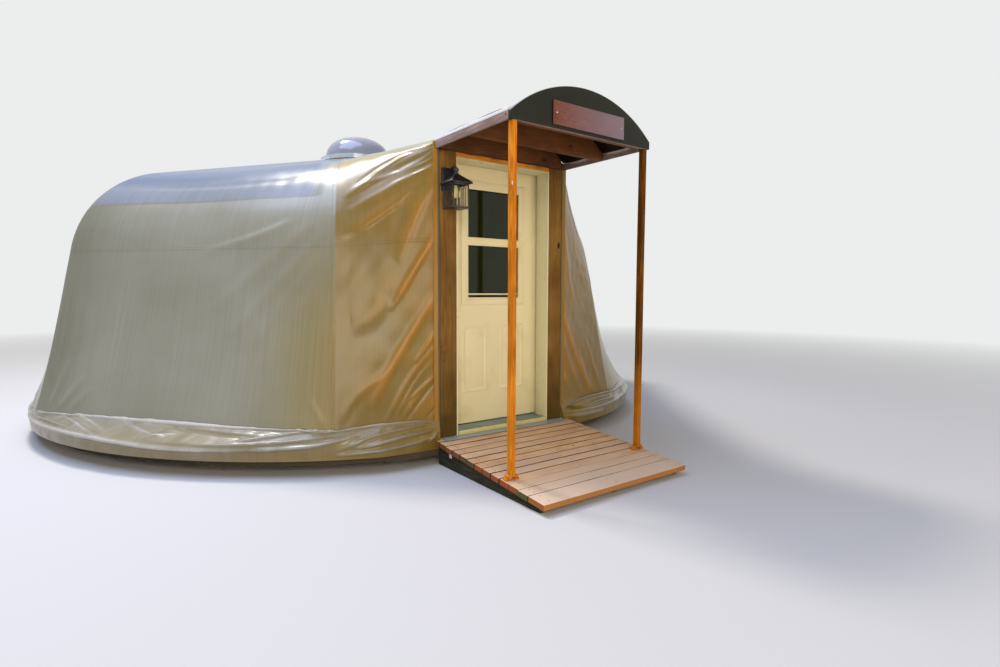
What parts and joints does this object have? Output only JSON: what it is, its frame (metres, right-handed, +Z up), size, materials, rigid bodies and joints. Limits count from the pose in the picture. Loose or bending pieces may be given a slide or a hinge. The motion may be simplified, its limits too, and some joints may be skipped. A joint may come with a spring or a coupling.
{
  "type": "yurt",
  "caption": "Many-sided fabric yurt on a low round platform, with an arched awning over a hinged door, a small sloping deck and a domed skylight.",
  "frame": {"origin": "on the ground under the middle of the crown, at the underside of the middle footing block", "axes": "+Z up, +Y from the door towards the back, +X to the right of someone who faces the door"},
  "size_m": [6.2596, 7.308, 3.0631],
  "materials": {
    "black_metal": "satin",
    "brass_fittings": "satin",
    "brown_timber": "matt",
    "clear_plastic_rim": "gloss",
    "coated_cloth": "glossy",
    "concrete": "matt",
    "cream_paint": "satin",
    "dark_timber": "matt",
    "deck_timber": "matt",
    "flashing_metal": "satin",
    "floor_plywood": "satin",
    "frosted_glass": "frosted",
    "green_black_paint": "satin",
    "orange_timber": "satin",
    "pale_timber": "satin",
    "plaque_timber": "satin",
    "sill_metal": "satin",
    "smoky_plastic": "gloss",
    "white_paint": "satin",
    "window_glass": "gloss"
  },
  "bodies": {
    "yurt": {"awning_boards": "brown_timber", "awning_fascias": "brown_timber", "awning_gable": "green_black_paint", "awning_roof": "coated_cloth", "crown_ring": "pale_timber", "deck_boards": "deck_timber", "deck_stringers": "dark_timber", "door_cover_left": "coated_cloth", "door_cover_right": "coated_cloth", "door_cover_top": "coated_cloth", "door_frame": "white_paint", "door_liner": "white_paint", "door_post_left": "brown_timber", "door_post_right": "brown_timber", "door_sill": "sill_metal", "floor_joists": "dark_timber", "floor_panel": "floor_plywood", "footing_blocks": "concrete", "head_plank": "orange_timber", "hinge_frame_leaves": "brass_fittings", "lantern_body": "black_metal", "lantern_bulb": "frosted_glass", "porch_post_left": "orange_timber", "porch_post_right": "orange_timber", "rib_back": "pale_timber", "rib_front_left": "pale_timber", "rib_front_right": "pale_timber", "rib_rear_left": "pale_timber", "rib_rear_right": "pale_timber", "rib_side_left": "pale_timber", "rib_side_right": "pale_timber", "rim_joist": "dark_timber", "roof_cover_back_left": "coated_cloth", "roof_cover_back_right": "coated_cloth", "roof_cover_front_left": "coated_cloth", "roof_cover_front_right": "coated_cloth", "roof_cover_side_left": "coated_cloth", "roof_cover_side_right": "coated_cloth", "sign_plaque": "plaque_timber", "sill_flashing": "flashing_metal", "skirt_left": "coated_cloth", "skirt_right": "coated_cloth", "skylight_curb": "pale_timber", "skylight_dome": "smoky_plastic", "skylight_flange": "clear_plastic_rim", "wall_cover_back_left": "coated_cloth", "wall_cover_back_right": "coated_cloth", "wall_cover_front_left": "coated_cloth", "wall_cover_front_right": "coated_cloth", "wall_cover_side_left": "coated_cloth", "wall_cover_side_right": "coated_cloth"},
    "door": {"door_slab": "cream_paint", "door_window_frame": "cream_paint", "door_glass": "window_glass", "door_lockset": "brass_fittings", "hinge_door_leaves": "brass_fittings"}
  },
  "joints": [
    {"name": "door_hinge", "type": "hinge", "parent": "yurt", "child": "door", "pos_m": [0.4605, -2.724, 1.238], "axis": [0, 0, -1], "range_deg": [0, 95]}
  ]
}
